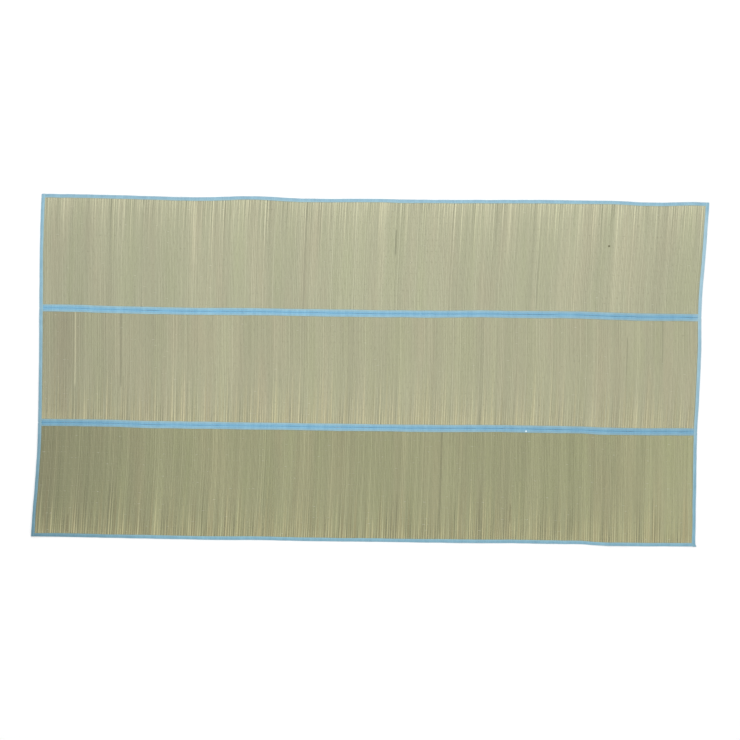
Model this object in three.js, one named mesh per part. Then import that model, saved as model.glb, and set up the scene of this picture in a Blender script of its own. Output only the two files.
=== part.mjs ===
// A folding beach mat of woven straw, opened out flat on the ground.
// Three long panels lie side by side, with their straws across the mat. Each long edge of a panel is
// bound in its own folded tape. Where two panels meet, their two tapes are sewn together edge to edge,
// and the mat folds there. One more folded tape binds each short end, across all three panels.
// Sizes are in millimetres. +X runs along the mat, +Y from its near edge to its far edge, and +Z up.
// The ground is at Z = 0.

import * as THREE from "three";

// The mat as it is cut and sewn, before it wanders.
const MAT_LENGTH = 1800;
const PANEL_PITCH = 310;
const PANEL_NAMES = ["near", "middle", "far"];
const MAT_WIDTH = PANEL_NAMES.length * PANEL_PITCH;
const GAP = 0.3;

// The straw cloth, crushed thin where a tape is sewn over its edge.
const STRAW_THICKNESS = 2.4;
const CRUSHED_THICKNESS = 1.0;
const CRUSH_TAPER = 12;

// The binding tape, folded in half over an edge.
const TAPE_THICKNESS = 1.0;
const TAPE_SHOWING = 10;
const TAPE_ROUNDING = 0.8;
const TAPE_HEIGHT = CRUSHED_THICKNESS + 2 * GAP + 2 * TAPE_THICKNESS;
const TAPE_CLEAR = TAPE_SHOWING + GAP;
const STRAW_INSET = TAPE_THICKNESS + GAP;

const LONG_SECTIONS = 40;
const SECTION_LENGTH = MAT_LENGTH / LONG_SECTIONS;
const CROSS_SECTIONS_PER_PANEL = 4;
const CROSS_SECTION_WIDTH = PANEL_PITCH / CROSS_SECTIONS_PER_PANEL;

// How far each long line strays from straight, towards the far side, at a distance along the mat.
// The lines are the near edge, the fold lines before and behind the middle panel, and the far edge.
const LONG_LINES = [
  { along: 0, near: 0.7, nearFold: -0.1, farFold: 0.4, far: 0.0 },
  { along: 70, near: 0.5, nearFold: 0.1, farFold: 1.3, far: 0.0 },
  { along: 180, near: -0.1, nearFold: 0.3, farFold: -1.0, far: -0.3 },
  { along: 290, near: -0.8, nearFold: -1.4, farFold: -2.0, far: -2.1 },
  { along: 395, near: -1.3, nearFold: -1.9, farFold: -2.8, far: -3.5 },
  { along: 450, near: -1.8, nearFold: -1.6, farFold: -2.6, far: -2.4 },
  { along: 560, near: -1.4, nearFold: -1.8, farFold: -1.6, far: 1.7 },
  { along: 615, near: -0.3, nearFold: -1.4, farFold: -1.2, far: 0.7 },
  { along: 670, near: -1.0, nearFold: -1.0, farFold: -1.9, far: -1.7 },
  { along: 775, near: -1.3, nearFold: -2.0, farFold: -2.1, far: -2.4 },
  { along: 885, near: -1.0, nearFold: -1.3, farFold: -2.1, far: -0.7 },
  { along: 995, near: -0.6, nearFold: -1.2, farFold: -1.5, far: -1.0 },
  { along: 1100, near: -0.7, nearFold: -0.7, farFold: -0.5, far: -0.2 },
  { along: 1210, near: 0.0, nearFold: 1.1, farFold: 1.4, far: 1.2 },
  { along: 1320, near: 0.9, nearFold: 1.0, farFold: 1.6, far: 2.6 },
  { along: 1430, near: 0.5, nearFold: 0.6, farFold: 2.3, far: 3.0 },
  { along: 1480, near: 0.8, nearFold: 0.3, farFold: 2.2, far: 3.4 },
  { along: 1535, near: -1.7, nearFold: -1.4, farFold: 0.6, far: 3.6 },
  { along: 1645, near: -2.6, nearFold: -1.7, farFold: -0.8, far: 0.1 },
  { along: 1755, near: -1.4, nearFold: -0.6, farFold: 0.1, far: 3.0 },
  { along: 1800, near: -1.4, nearFold: -0.5, farFold: 0.1, far: 2.0 },
];

// How far each end strays towards +X, at a distance across the mat from its near edge.
// The right end finishes in a small pointed tip at the near corner.
const ENDS = [
  { across: 0, left: -12.8, right: -6.8 },
  { across: TAPE_CLEAR, left: -12.3, right: -10.8 },
  { across: 1 * CROSS_SECTION_WIDTH, left: -8.7, right: -10.8 },
  { across: 2 * CROSS_SECTION_WIDTH, left: -3.6, right: -10.8 },
  { across: 3 * CROSS_SECTION_WIDTH, left: 0.3, right: -10.9 },
  { across: 4 * CROSS_SECTION_WIDTH, left: 1.9, right: -10.4 },
  { across: 5 * CROSS_SECTION_WIDTH, left: 1.9, right: -6.9 },
  { across: 6 * CROSS_SECTION_WIDTH, left: 2.1, right: -4.1 },
  { across: 7 * CROSS_SECTION_WIDTH, left: 1.3, right: -2.6 },
  { across: 8 * CROSS_SECTION_WIDTH, left: 0.6, right: -3.5 },
  { across: 9 * CROSS_SECTION_WIDTH, left: 0.2, right: -1.1 },
  { across: 10 * CROSS_SECTION_WIDTH, left: -0.2, right: 4.8 },
  { across: 11 * CROSS_SECTION_WIDTH, left: 0.2, right: 9.2 },
  { across: 12 * CROSS_SECTION_WIDTH, left: 2.4, right: 13.6 },
];

// Low swells that lift the mat off the ground. Each crest lies across the mat, because the straws are
// stiff, and its height changes evenly from the near edge to the far edge.
const SWELLS = [
  { along: 0, reach: 80, near: 2.4, far: 0.6 },
  { along: 345, reach: 100, near: 0.5, far: 2.2 },
  { along: 600, reach: 75, near: 0.2, far: 1.8 },
  { along: 1190, reach: 95, near: 1.7, far: 0.4 },
  { along: 1375, reach: 85, near: 0.4, far: 2.5 },
  { along: 1580, reach: 90, near: 2.2, far: 0.9 },
  { along: 1800, reach: 100, near: 0.7, far: 2.8 },
];

const STRAW_COLOURS = { near: "#9f9c7c", middle: "#adab8c", far: "#b3b394" };
const STRAW_ROUGHNESS = 0.85;
const TAPE_COLOUR = "#7ab0d4";
const TAPE_ROUGHNESS = 0.5;

// A table's rows as an interpolant over one column, which gives the other columns in their order.
function interpolant(Kind, rows, over, columns) {
  const positions = rows.map((row) => row[over]);
  const values = rows.flatMap((row) => columns.map((column) => row[column]));
  return new Kind(positions, values, columns.length);
}

// The height of all the swells together on one edge, near or far.
function swellHeight(along, edge) {
  const heights = SWELLS.map((swell) => {
    const offset = Math.min(Math.abs(along - swell.along) / swell.reach, 1);
    return swell[edge] * 0.5 * (1 + Math.cos(Math.PI * offset));
  });
  return heights.reduce((sum, height) => sum + height, 0);
}

// Every piece has sections at the same distances along the mat and is straight between them, so
// that neighbouring pieces stay parallel.
const lineNames = ["near", "nearFold", "farFold", "far"];
const smoothLines = interpolant(THREE.CubicInterpolant, LONG_LINES, "along", lineNames);
const sections = Array.from({ length: LONG_SECTIONS + 1 }, (_, index) => {
  const along = index * SECTION_LENGTH;
  const [near, nearFold, farFold, far] = smoothLines.evaluate(along);
  const swellNear = swellHeight(along, "near");
  const swellFar = swellHeight(along, "far");
  return { along, near, nearFold, farFold, far, swellNear, swellFar };
});
const longLines = interpolant(THREE.LinearInterpolant, sections, "along", lineNames);
const swells = interpolant(THREE.LinearInterpolant, sections, "along", ["swellNear", "swellFar"]);
const ends = interpolant(THREE.LinearInterpolant, ENDS, "across", ["left", "right"]);

// Where a point of the straight drawing lies: along from the left end, across from the near edge.
function lieOut(along, across, height) {
  const [left, right] = ends.evaluate(across);
  const lines = longLines.evaluate(along);
  const panel = THREE.MathUtils.clamp(Math.floor(across / PANEL_PITCH), 0, PANEL_NAMES.length - 1);
  const sideways = THREE.MathUtils.lerp(lines[panel], lines[panel + 1], across / PANEL_PITCH - panel);
  const [swellNear, swellFar] = swells.evaluate(along);
  return new THREE.Vector3(
    along - MAT_LENGTH / 2 + THREE.MathUtils.lerp(left, right, along / MAT_LENGTH),
    across - MAT_WIDTH / 2 + sideways,
    height + THREE.MathUtils.lerp(swellNear, swellFar, across / MAT_WIDTH),
  );
}

// Moves every vertex of a geometry, with a function that turns its position into a new one.
function reshape(geometry, move) {
  const position = geometry.getAttribute("position");
  const point = new THREE.Vector3();
  for (let index = 0; index < position.count; index += 1) {
    point.fromBufferAttribute(position, index);
    const moved = move(point);
    position.setXYZ(index, moved.x, moved.y, moved.z);
  }
  geometry.computeVertexNormals();
  return geometry;
}

// The given ends of a run with the marks that lie between them, each once and in order.
function stops(low, high, marks) {
  const between = marks.filter((mark) => mark > low && mark < high);
  return [...new Set([low, ...between, high])].sort((a, b) => a - b);
}

const alongMarks = sections.map((section) => section.along);
const acrossMarks = ENDS.map((row) => row.across);

function mesh(name, geometry, colour, roughness) {
  const material = new THREE.MeshStandardMaterial({ color: colour, roughness, metalness: 0 });
  const piece = new THREE.Mesh(geometry, material);
  piece.name = name;
  return piece;
}

// The outer sides of a panel's two long tapes, measured across the mat. At a fold line, each tape
// keeps half the gap to the tape of the next panel.
function longEdges(index) {
  const first = index === 0;
  const last = index === PANEL_NAMES.length - 1;
  const nearEdge = index * PANEL_PITCH + (first ? 0 : GAP / 2);
  const farEdge = (index + 1) * PANEL_PITCH - (last ? 0 : GAP / 2);
  return [nearEdge, farEdge];
}

// One panel of straw cloth: full thickness on the ground in its field, and crushed thin and held up
// between the two halves of the tape all round its rim.
function strawPanel(name, index) {
  const [nearEdge, farEdge] = longEdges(index);
  const rims = [TAPE_CLEAR, TAPE_CLEAR + CRUSH_TAPER];
  const rimMarks = (start, end) => rims.flatMap((rim) => [start + rim, end - rim]);
  const longMarks = [...alongMarks, ...rimMarks(0, MAT_LENGTH)];
  const crossMarks = [...acrossMarks, ...rimMarks(nearEdge, farEdge)];
  const longStops = stops(STRAW_INSET, MAT_LENGTH - STRAW_INSET, longMarks);
  const crossStops = stops(nearEdge + STRAW_INSET, farEdge - STRAW_INSET, crossMarks);
  const longCells = longStops.length - 1;
  const crossCells = crossStops.length - 1;
  const geometry = new THREE.BoxGeometry(1, 1, 1, longCells, crossCells, 1);
  return mesh(`panel_${name}`, reshape(geometry, (point) => {
    const along = longStops[Math.round((point.x + 0.5) * longCells)];
    const across = crossStops[Math.round((point.y + 0.5) * crossCells)];
    const inwards = Math.min(along, MAT_LENGTH - along, across - nearEdge, farEdge - across);
    const fullness = THREE.MathUtils.clamp((inwards - TAPE_CLEAR) / CRUSH_TAPER, 0, 1);
    const underside = THREE.MathUtils.lerp(STRAW_INSET, 0, fullness);
    const thickness = THREE.MathUtils.lerp(CRUSHED_THICKNESS, STRAW_THICKNESS, fullness);
    return lieOut(along, across, underside + (point.z > 0 ? thickness : 0));
  }), STRAW_COLOURS[name], STRAW_ROUGHNESS);
}

// The section of a folded tape: X inwards from its fold and Y up from the ground.
function tapeSection() {
  const top = TAPE_HEIGHT;
  const slotTop = top - TAPE_THICKNESS;
  return new THREE.Shape([
    new THREE.Vector2(TAPE_ROUNDING, 0),
    new THREE.Vector2(TAPE_SHOWING, 0),
    new THREE.Vector2(TAPE_SHOWING, TAPE_THICKNESS),
    new THREE.Vector2(TAPE_THICKNESS, TAPE_THICKNESS),
    new THREE.Vector2(TAPE_THICKNESS, slotTop),
    new THREE.Vector2(TAPE_SHOWING, slotTop),
    new THREE.Vector2(TAPE_SHOWING, top),
    new THREE.Vector2(TAPE_ROUNDING, top),
    new THREE.Vector2(0, top - TAPE_ROUNDING),
    new THREE.Vector2(0, TAPE_ROUNDING),
  ]);
}

// A folded tape whose fold runs from one corner of the straight drawing to another, with the cloth
// that it binds on the left hand. The distances of its sections from its start are in runStops.
function foldedTape(name, start, direction, runStops) {
  const steps = runStops.length - 1;
  const inwards = new THREE.Vector2(-direction.y, direction.x);
  const geometry = new THREE.ExtrudeGeometry(tapeSection(), { depth: 1, steps, bevelEnabled: false });
  return mesh(`tape_${name}`, reshape(geometry, (point) => {
    const run = runStops[Math.round(point.z * steps)];
    const place = start.clone().addScaledVector(direction, run).addScaledVector(inwards, point.x);
    return lieOut(place.x, place.y, point.y);
  }), TAPE_COLOUR, TAPE_ROUGHNESS);
}

// The two tapes along a panel's long edges, between the two end tapes.
function longTapes(name, index) {
  const [nearEdge, farEdge] = longEdges(index);
  const alongStops = stops(TAPE_CLEAR, MAT_LENGTH - TAPE_CLEAR, alongMarks);
  const backwards = alongStops.map((stop) => MAT_LENGTH - stop).reverse();
  const nearStart = new THREE.Vector2(0, nearEdge);
  const farStart = new THREE.Vector2(MAT_LENGTH, farEdge);
  return [
    foldedTape(`${name}_front`, nearStart, new THREE.Vector2(1, 0), alongStops),
    foldedTape(`${name}_back`, farStart, new THREE.Vector2(-1, 0), backwards),
  ];
}

// The tapes over the two short ends, each the whole width of the mat.
function endTapes() {
  const acrossStops = stops(0, MAT_WIDTH, acrossMarks);
  const backwards = acrossStops.map((stop) => MAT_WIDTH - stop).reverse();
  const rightStart = new THREE.Vector2(MAT_LENGTH, 0);
  const leftStart = new THREE.Vector2(0, MAT_WIDTH);
  return [
    foldedTape("right_end", rightStart, new THREE.Vector2(0, 1), acrossStops),
    foldedTape("left_end", leftStart, new THREE.Vector2(0, -1), backwards),
  ];
}

const mat = new THREE.Group();
PANEL_NAMES.forEach((name, index) => mat.add(strawPanel(name, index), ...longTapes(name, index)));
mat.add(...endTapes());

export default mat;
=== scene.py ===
# %% [markdown]
# # A folding beach mat of woven straw
# The real mat is three long panels of dried rush straw. Weaving threads hold the straws side by side,
# a folded tape is sewn over every edge, and the panels fold on each other where two tapes meet.
# This lesson dresses the plain solids of the mat. The frame below holds them, and every new piece is
# worked out from where they lie.

# %% Load the solids
import math

import bmesh
import bpy
import numpy as np
from mathutils import Matrix


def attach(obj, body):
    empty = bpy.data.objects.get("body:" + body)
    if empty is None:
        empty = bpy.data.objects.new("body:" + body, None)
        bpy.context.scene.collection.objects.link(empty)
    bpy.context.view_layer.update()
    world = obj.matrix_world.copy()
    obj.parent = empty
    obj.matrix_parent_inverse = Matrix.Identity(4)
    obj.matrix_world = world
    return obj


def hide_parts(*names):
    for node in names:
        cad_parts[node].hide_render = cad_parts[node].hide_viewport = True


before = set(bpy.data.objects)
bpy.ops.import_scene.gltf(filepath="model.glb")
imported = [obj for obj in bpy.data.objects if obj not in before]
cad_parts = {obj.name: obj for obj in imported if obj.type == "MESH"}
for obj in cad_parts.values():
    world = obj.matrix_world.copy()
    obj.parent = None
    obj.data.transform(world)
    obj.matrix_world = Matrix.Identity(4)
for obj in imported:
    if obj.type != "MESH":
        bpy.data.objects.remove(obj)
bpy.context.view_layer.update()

print("solids:", sorted(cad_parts))

# %% [markdown]
# ## Sizes
# What a weaver or a sewer would set gets a name, in millimetres, and MM turns it into metres. All
# random draws come from one seeded source, so that each run weaves the same mat.

# %% Sizes of the mat
MM = 0.001
LENGTH = 1800 * MM
PANEL_WIDTH = 310 * MM
PANELS = ("near", "middle", "far")
WIDTH = PANEL_WIDTH * len(PANELS)
FOLD_LINES = (PANEL_WIDTH, 2 * PANEL_WIDTH)
TAPE_SHOWING = 10 * MM
# Farther than this from an edge, a straw or a stitch is clear of the tape over it.
TAPE_CLEAR = 10.3 * MM
SEED = 1804
rng = np.random.default_rng(SEED)
print("mat:", round(LENGTH, 3), "x", round(WIDTH, 3), "m")

# %% [markdown]
# ## Where the mat lies
# The mat was cut straight, but it doesn't lie straight: its edges wander and low swells lift it.
# Pieces bent one by one would part. The solids already have the shape, so each tape solid is read
# section by section, and its fold gives the line that everything along that edge follows.

# %% Read the lines of the solids
# Points of one section lie closer together than this, and sections farther apart.
SECTION_GAP = 4 * MM


def fold_of(node, run_axis, outermost):
    """The fold of a tape solid: for each of its sections, the place along the run, across and up."""
    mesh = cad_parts[node].data
    points = np.empty(len(mesh.vertices) * 3)
    mesh.vertices.foreach_get("co", points)
    points = points.reshape(-1, 3)
    points = points[points[:, run_axis].argsort()]
    section_ends = np.flatnonzero(np.diff(points[:, run_axis]) > SECTION_GAP) + 1
    rows = []
    for section in np.split(points, section_ends):
        side = outermost(section[:, 1 - run_axis])
        rows.append((section[:, run_axis].mean(), side, section[:, 2].min()))
    return np.array(rows).T


long_lines = [
    fold_of("tape_near_front", 0, np.min),
    (fold_of("tape_near_back", 0, np.max) + fold_of("tape_middle_front", 0, np.min)) / 2,
    (fold_of("tape_middle_back", 0, np.max) + fold_of("tape_far_front", 0, np.min)) / 2,
    fold_of("tape_far_back", 0, np.max),
]
left_line = fold_of("tape_left_end", 1, np.min)
right_line = fold_of("tape_right_end", 1, np.max)
print("sections along the mat:", long_lines[0].shape[1], "and across it:", left_line.shape[1])

# %% [markdown]
# ### A straight drawing, laid out
# Every piece is first drawn straight, as if the mat were new, and its points are then moved to where
# the mat lies. Straight lines between the sections would show as corners, so a smooth curve joins them.


# %% Smooth lines
def smooth(at, places, values):
    """The values at places, joined by a smooth curve that doesn't overshoot them."""
    steps = np.diff(places)
    slopes = np.diff(values) / steps
    products = slopes[1:] * slopes[:-1]
    sums = slopes[1:] + slopes[:-1]
    inner = np.where(products > 0, 2 * products / np.where(products > 0, sums, 1), 0)
    tangents = np.concatenate([slopes[:1], inner, slopes[-1:]])
    inside = np.clip(at, places[0], places[-1])
    index = np.clip(np.searchsorted(places, inside) - 1, 0, len(steps) - 1)
    step = steps[index]
    share = (inside - places[index]) / step
    rise = values[index + 1] - values[index]
    bow = share * (1 - share) * (
        (1 - share) * (tangents[index] * step - rise) - share * (tangents[index + 1] * step - rise)
    )
    beyond = (at - inside) * np.where(at > inside, tangents[-1], tangents[0])
    return values[index] + rise * share + bow + beyond


def wandering(span, pitch, amount):
    """A smooth random line over a span, as a function, with a new value at each pitch."""
    knots = np.arange(-1, int(span / pitch) + 3) * pitch
    values = rng.normal(0, amount, len(knots))
    return lambda at: smooth(np.asarray(at, float), knots, values)


half_way = smooth(np.array([0.0]), long_lines[0][0], long_lines[0][1])[0]
print("the near edge, half way along, lies at y =", round(float(half_way), 4))


# %% Lay a straight drawing out
def lie_out(along, across, height):
    """Where points of the straight drawing lie: along from the left end, across from the near edge."""
    straight_y = across - WIDTH / 2
    left = smooth(straight_y, left_line[0], left_line[1])
    right = smooth(straight_y, right_line[0], right_line[1])
    x = left + (right - left) * along / LENGTH
    sides = np.array([smooth(x, line[0], line[1]) for line in long_lines])
    lifts = np.array([smooth(x, line[0], line[2]) for line in long_lines])
    panel = np.clip(np.floor(across / PANEL_WIDTH), 0, len(PANELS) - 1).astype(int)
    share = across / PANEL_WIDTH - panel
    pick = np.arange(len(x))
    y = sides[panel, pick] * (1 - share) + sides[panel + 1, pick] * share
    lift = lifts[panel, pick] * (1 - share) + lifts[panel + 1, pick] * share
    return np.stack([x, y, height + lift], axis=1)


def laid_point(along, across, height):
    """Where one point of the straight drawing lies."""
    return lie_out(np.array([along]), np.array([across]), np.array([height]))[0]


print("near left corner at", laid_point(0.0, 0.0, 0.0).round(4))

# %% [markdown]
# ## Many small things in one mesh
# A panel has hundreds of straws and thousands of stitches. An object for each would be slow, and
# copies made by a modifier would all be alike. So each kind starts as one small form, made with bmesh
# operators, and is repeated as an array of points in a single mesh, each copy in its own size.


# %% Forms
def read_form(form):
    """A form as arrays: its points, the corners of its faces, and how many each face has."""
    form.verts.index_update()
    points = np.array([vert.co[:] for vert in form.verts])
    corners = np.array([vert.index for face in form.faces for vert in face.verts])
    sizes = np.array([len(face.verts) for face in form.faces])
    form.free()
    return points, corners, sizes


def rod_form(sides, cuts, turn=0.0):
    """A closed rod one unit in radius and one unit long, cut across at equal steps."""
    form = bmesh.new()
    bmesh.ops.create_cone(
        form, cap_ends=True, cap_tris=False, segments=sides, radius1=1, radius2=1, depth=1,
        matrix=Matrix.Rotation(turn, 4, "Z"),
    )
    # Only the edges from end to end are longer than half the rod along Z.
    lengthwise = [edge for edge in form.edges if abs(edge.verts[0].co.z - edge.verts[1].co.z) > 0.5]
    bmesh.ops.subdivide_edges(form, edges=lengthwise, cuts=cuts, use_grid_fill=True)
    bmesh.ops.recalc_face_normals(form, faces=form.faces)
    return read_form(form)


def triangles_of(form):
    """How many triangles one copy of a form has."""
    return int((form[2] - 2).sum())


print("triangles in a rod with 3 sides and 1 cut:", triangles_of(rod_form(3, 1)))


# %% Copies of a form
def joined_mesh(name, form, points, attributes):
    """One object of many copies of a form. points has a row of places for each copy."""
    copies, per_copy = points.shape[:2]
    _, corners, sizes = form
    all_corners = (corners[None, :] + np.arange(copies)[:, None] * per_copy).ravel()
    all_sizes = np.tile(sizes, copies)
    starts = np.concatenate([[0], np.cumsum(all_sizes)[:-1]])
    mesh = bpy.data.meshes.new(name)
    mesh.vertices.add(copies * per_copy)
    mesh.vertices.foreach_set("co", points.astype(np.float32).ravel())
    mesh.loops.add(len(all_corners))
    mesh.loops.foreach_set("vertex_index", all_corners.astype(np.int32))
    mesh.polygons.add(len(all_sizes))
    mesh.polygons.foreach_set("loop_start", starts.astype(np.int32))
    mesh.polygons.foreach_set("loop_total", all_sizes.astype(np.int32))
    mesh.polygons.foreach_set("use_smooth", np.ones(len(all_sizes), bool))
    for label, values in attributes.items():
        layer = mesh.attributes.new(label, "FLOAT", "POINT")
        spread = np.broadcast_to(values, (copies, per_copy)).astype(np.float32)
        layer.data.foreach_set("value", spread.ravel())
    mesh.update(calc_edges=True)
    mesh.validate()
    piece = bpy.data.objects.new(name, mesh)
    bpy.context.scene.collection.objects.link(piece)
    print(f"{name}: {copies} copies, {copies * triangles_of(form)} triangles")
    return piece


# %% [markdown]
# ## The straws
# Each straw is a dried stalk about 3.2 mm wide and 1.7 mm thick, with a flattened top and underside.
# As a ridge in one rippled sheet it couldn't lie higher than its neighbour, so each straw is a closed
# rod of its own. It has a ring of points at every weaving thread, where it passes by turns under and
# over: that is what makes the cloth look woven in a slanting light.

# %% Rings on a straw
THREAD_ROWS = 19
FIRST_THREAD = 18.6 * MM
THREAD_PITCH = (PANEL_WIDTH - 2 * FIRST_THREAD) / (THREAD_ROWS - 1)
# A straw stops inside the fold of the tape, and has another ring just under the lip of the tape.
STRAW_INSET = 1.3 * MM
UNDER_LIP_RING = TAPE_SHOWING - 1 * MM

thread_places = FIRST_THREAD + THREAD_PITCH * np.arange(THREAD_ROWS)
ring_places = np.concatenate([
    [STRAW_INSET, UNDER_LIP_RING],
    thread_places,
    [PANEL_WIDTH - UNDER_LIP_RING, PANEL_WIDTH - STRAW_INSET],
])
print("rings on a straw:", len(ring_places), "with a thread every", round(THREAD_PITCH / MM, 1), "mm")

# %% The form of a straw
STRAW_SIDES = 6
# How much of the straw's width its flat top and underside take up. A plain rod has half.
FLAT_SHARE = 0.76

# The rod is turned to lie on a flat side. Its two outermost corners stay where they are.
straw_form = rod_form(STRAW_SIDES, len(ring_places) - 2, math.pi / STRAW_SIDES)
section = straw_form[0]
on_flat_sides = np.abs(section[:, 0]) < 0.9
section[on_flat_sides, 0] *= FLAT_SHARE / 0.5
section[:, 1] /= np.abs(section[:, 1]).max()
print("triangles in a straw:", triangles_of(straw_form))

# %% [markdown]
# ### Straws that stand out
# A few straws are darker or paler over part of their length. Chance would put them anywhere, so
# the ones that the eye finds first are listed.

# %% Mark straws one by one
# The place along the mat, from and to across the panel, in mm, and how much paler. Below 0 is darker.
MARKED_STRAWS = {
    "near": [(1295, 60, 104, -0.9), (1105, 30, 300, -0.28), (1684, 10, 130, -0.4), (95, 20, 60, -0.8)],
    "middle": [
        (221, 110, 300, -0.35), (1598, 20, 250, -0.35), (1695, 180, 300, -0.3), (99, 110, 300, 0.4),
    ],
    "far": [
        (962, 172, 216, -0.9), (716, 10, 300, -0.25), (604, 190, 300, -0.25), (1352, 20, 290, -0.28),
        (417, 130, 300, 0.15),
    ],
}
MARK_MARGIN = 2 * MM


def marks_on(panel, middles):
    """How much darker or paler each straw of a panel is at each of its rings."""
    marks = np.zeros((len(middles), len(ring_places)))
    for along, start, end, amount in MARKED_STRAWS[panel]:
        straw = np.abs(middles - along * MM).argmin()
        after, before = start * MM - MARK_MARGIN, end * MM + MARK_MARGIN
        marks[straw] += amount * ((ring_places > after) & (ring_places < before))
    return marks


print("straws marked by hand:", {panel: len(marked) for panel, marked in MARKED_STRAWS.items()})

# %% [markdown]
# ### Straws side by side
# A weaver lays straws as they come, thin and thick, until the panel is full. So the widths are drawn
# at random, those that fit are kept, and they are stretched a hair to fill the panel.

# %% Straw lanes
STRAW_WIDTH = 3.2 * MM
STRAW_WIDTH_SPREAD = 0.75 * MM
NARROWEST = 1.9 * MM
WIDEST = 5.0 * MM
# How many more widths are drawn than should fit.
SPARE = 1.1
STRAW_THICKNESS = 1.7 * MM
STRAW_MIDDLE = 1.25 * MM
# Under the tape a straw is crushed: thinner, and with its middle higher up.
STRAW_CRUSHED = 1.3 * MM
STRAW_CRUSHED_MIDDLE = 1.75 * MM
CRUSH_FADE = 12 * MM


def fullness(distance):
    """0 under the tape, where a straw is crushed, to 1 in the open field."""
    return np.clip((distance - TAPE_CLEAR) / CRUSH_FADE, 0, 1)


def straw_lanes():
    """The middles and widths of one panel's straws, side by side from end to end."""
    count = int(SPARE * LENGTH / STRAW_WIDTH)
    widths = np.clip(rng.normal(STRAW_WIDTH, STRAW_WIDTH_SPREAD, count), NARROWEST, WIDEST)
    edges = STRAW_INSET + np.concatenate([[0], np.cumsum(widths)])
    kept = edges[1:] < LENGTH - STRAW_INSET
    widths = widths[kept] * (LENGTH - 2 * STRAW_INSET) / widths[kept].sum()
    edges = STRAW_INSET + np.concatenate([[0], np.cumsum(widths)])
    return (edges[1:] + edges[:-1]) / 2, widths


print("straws to a panel, about:", int(LENGTH / STRAW_WIDTH))

# %% Weave the straws
# Wider than its lane, so that no light falls between a straw and its neighbour.
STRAW_OVERLAP = 1.05
BUTT_SIZE = 1.03
STRAW_TAPER = 0.05
STRAW_CRIMP = 0.10 * MM
STRAW_RIDE = 0.07 * MM
THINNEST = 0.9
THICKEST = 1.06
SWAY_STEP = 0.1 * MM
SWAY_KEPT = 0.25
# Neighbours also sway together.
SHARED_SWAY = (140 * MM, 0.3 * MM)
# Straws are numbered on from panel to panel, so that no two share a random number.
PANEL_NUMBERS = 1000


def straws(panel, index, butt_far):
    """All the straws of one panel, with their thick butt ends at its far or its near edge."""
    middles, widths = straw_lanes()
    count = len(middles)
    points = straw_form[0]
    ring = np.rint((points[:, 2] + 0.5) * (len(ring_places) - 1)).astype(int)
    place = ring_places[ring]
    from_butt = PANEL_WIDTH - place if butt_far else place
    taper = BUTT_SIZE - STRAW_TAPER * from_butt / PANEL_WIDTH
    full = fullness(np.minimum(place, PANEL_WIDTH - place))
    sway_knots = rng.normal(0, SWAY_STEP, (count, len(ring_places)))
    sway = np.cumsum(sway_knots, axis=1) * SWAY_KEPT
    sway -= sway.mean(axis=1, keepdims=True)
    bow = np.sin(math.pi * ring_places / PANEL_WIDTH)
    shared = wandering(LENGTH, *SHARED_SWAY)(middles)[:, None] * bow
    along = middles[:, None] + (sway + shared)[:, ring]
    # A rod that stands along Z is laid along Y here, so it is also mirrored to keep its faces outwards.
    along = along - widths[:, None] / 2 * STRAW_OVERLAP * taper * points[:, 0]
    # Two straws pass over a thread and the next two under it, and the next thread does the opposite.
    parity = (np.arange(count)[:, None] // 2 + np.arange(len(ring_places))) % 2 * 2 - 1
    middle = STRAW_CRUSHED_MIDDLE + (STRAW_MIDDLE - STRAW_CRUSHED_MIDDLE) * full
    thick = STRAW_CRUSHED + (STRAW_THICKNESS - STRAW_CRUSHED) * full
    ride = rng.normal(0, STRAW_RIDE, (count, 1)) + STRAW_CRIMP * parity[:, ring]
    thinner = rng.uniform(THINNEST, THICKEST, (count, 1))
    height = middle + full * ride + thinner * thick / 2 * points[:, 1]
    across = np.broadcast_to(index * PANEL_WIDTH + place, along.shape)
    laid = lie_out(along.ravel(), across.ravel(), height.ravel()).reshape(count, -1, 3)
    attributes = {
        "straw": np.arange(count)[:, None] + PANEL_NUMBERS * index,
        "run": from_butt,
        "mark": marks_on(panel, middles)[:, ring],
    }
    return joined_mesh(f"straws_{panel}", straw_form, laid, attributes), middles, widths


panel_straws = {}
for index, panel in enumerate(PANELS):
    panel_straws[panel] = straws(panel, index, panel == "far")

# %% [markdown]
# ## The weaving threads
# A thin thread crosses the straws every 15 mm. It goes over two straws and under the next two, and
# the next thread does the opposite. Painted threads would cast no shadow, so each row is one long
# rod, with two rings of points to a pair of straws, which really passes above and below them.

# %% Weave the threads
THREAD_SIDES = 3
THREAD_RADIUS = 0.24 * MM
THREAD_SHOULDER = 0.55 * MM
THREAD_TOP = 2.2 * MM
THREAD_UNDER = 0.3 * MM
THREAD_WANDER = 0.25 * MM
PANEL_ROW_NUMBERS = 40


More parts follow.
